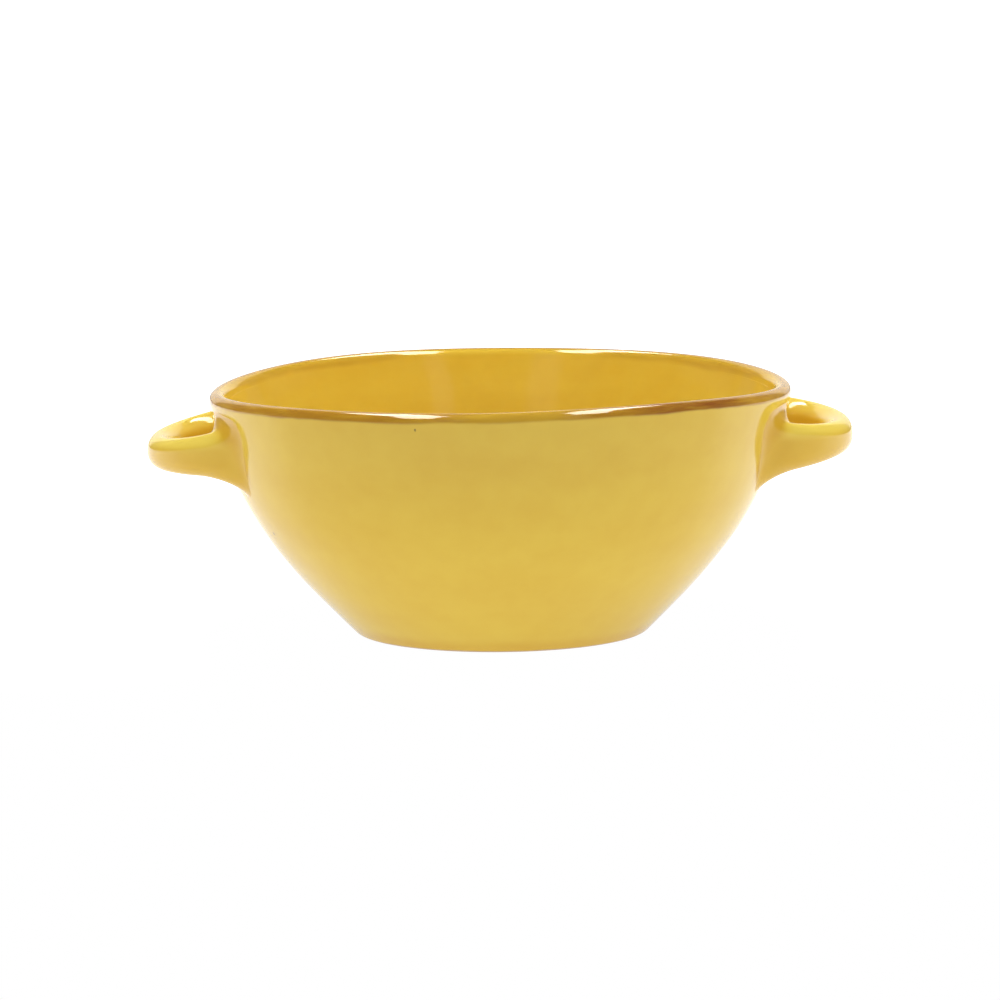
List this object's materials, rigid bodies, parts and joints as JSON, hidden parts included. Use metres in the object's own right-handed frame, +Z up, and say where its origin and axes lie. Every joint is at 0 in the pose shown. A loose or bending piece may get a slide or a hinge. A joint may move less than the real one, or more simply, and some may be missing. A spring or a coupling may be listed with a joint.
{
  "type": "lug soup bowl",
  "caption": "Glazed earthenware soup bowl with a curved wall, a brown brushed lip and a looped lug handle on each side for carrying it hot.",
  "frame": {"origin": "centre of the foot's resting plane", "axes": "+Z up out of the bowl's mouth, X along the two lugs with +X through the right lug, Y across them; the picture looks along +Y"},
  "size_m": [0.1709, 0.1401, 0.0618],
  "materials": {
    "yellow_glaze": "glossy warm yellow glaze, a little paler where it runs thin at edges, with fine pits",
    "lug_glaze": "the same glossy yellow glaze over rolled and flattened clay",
    "slip_glaze": "the same yellow glaze, pooled deeper in the corners where the lugs meet the wall",
    "brown_glaze": "glossy golden brown glaze brushed over the lip with an uneven edge"
  },
  "bodies": {
    "root": {"bowl_body": "yellow_glaze", "lip_band": "brown_glaze", "left_lug": "lug_glaze", "right_lug": "lug_glaze", "left_lug_slip": "slip_glaze", "right_lug_slip": "slip_glaze"}
  },
  "joints": []
}
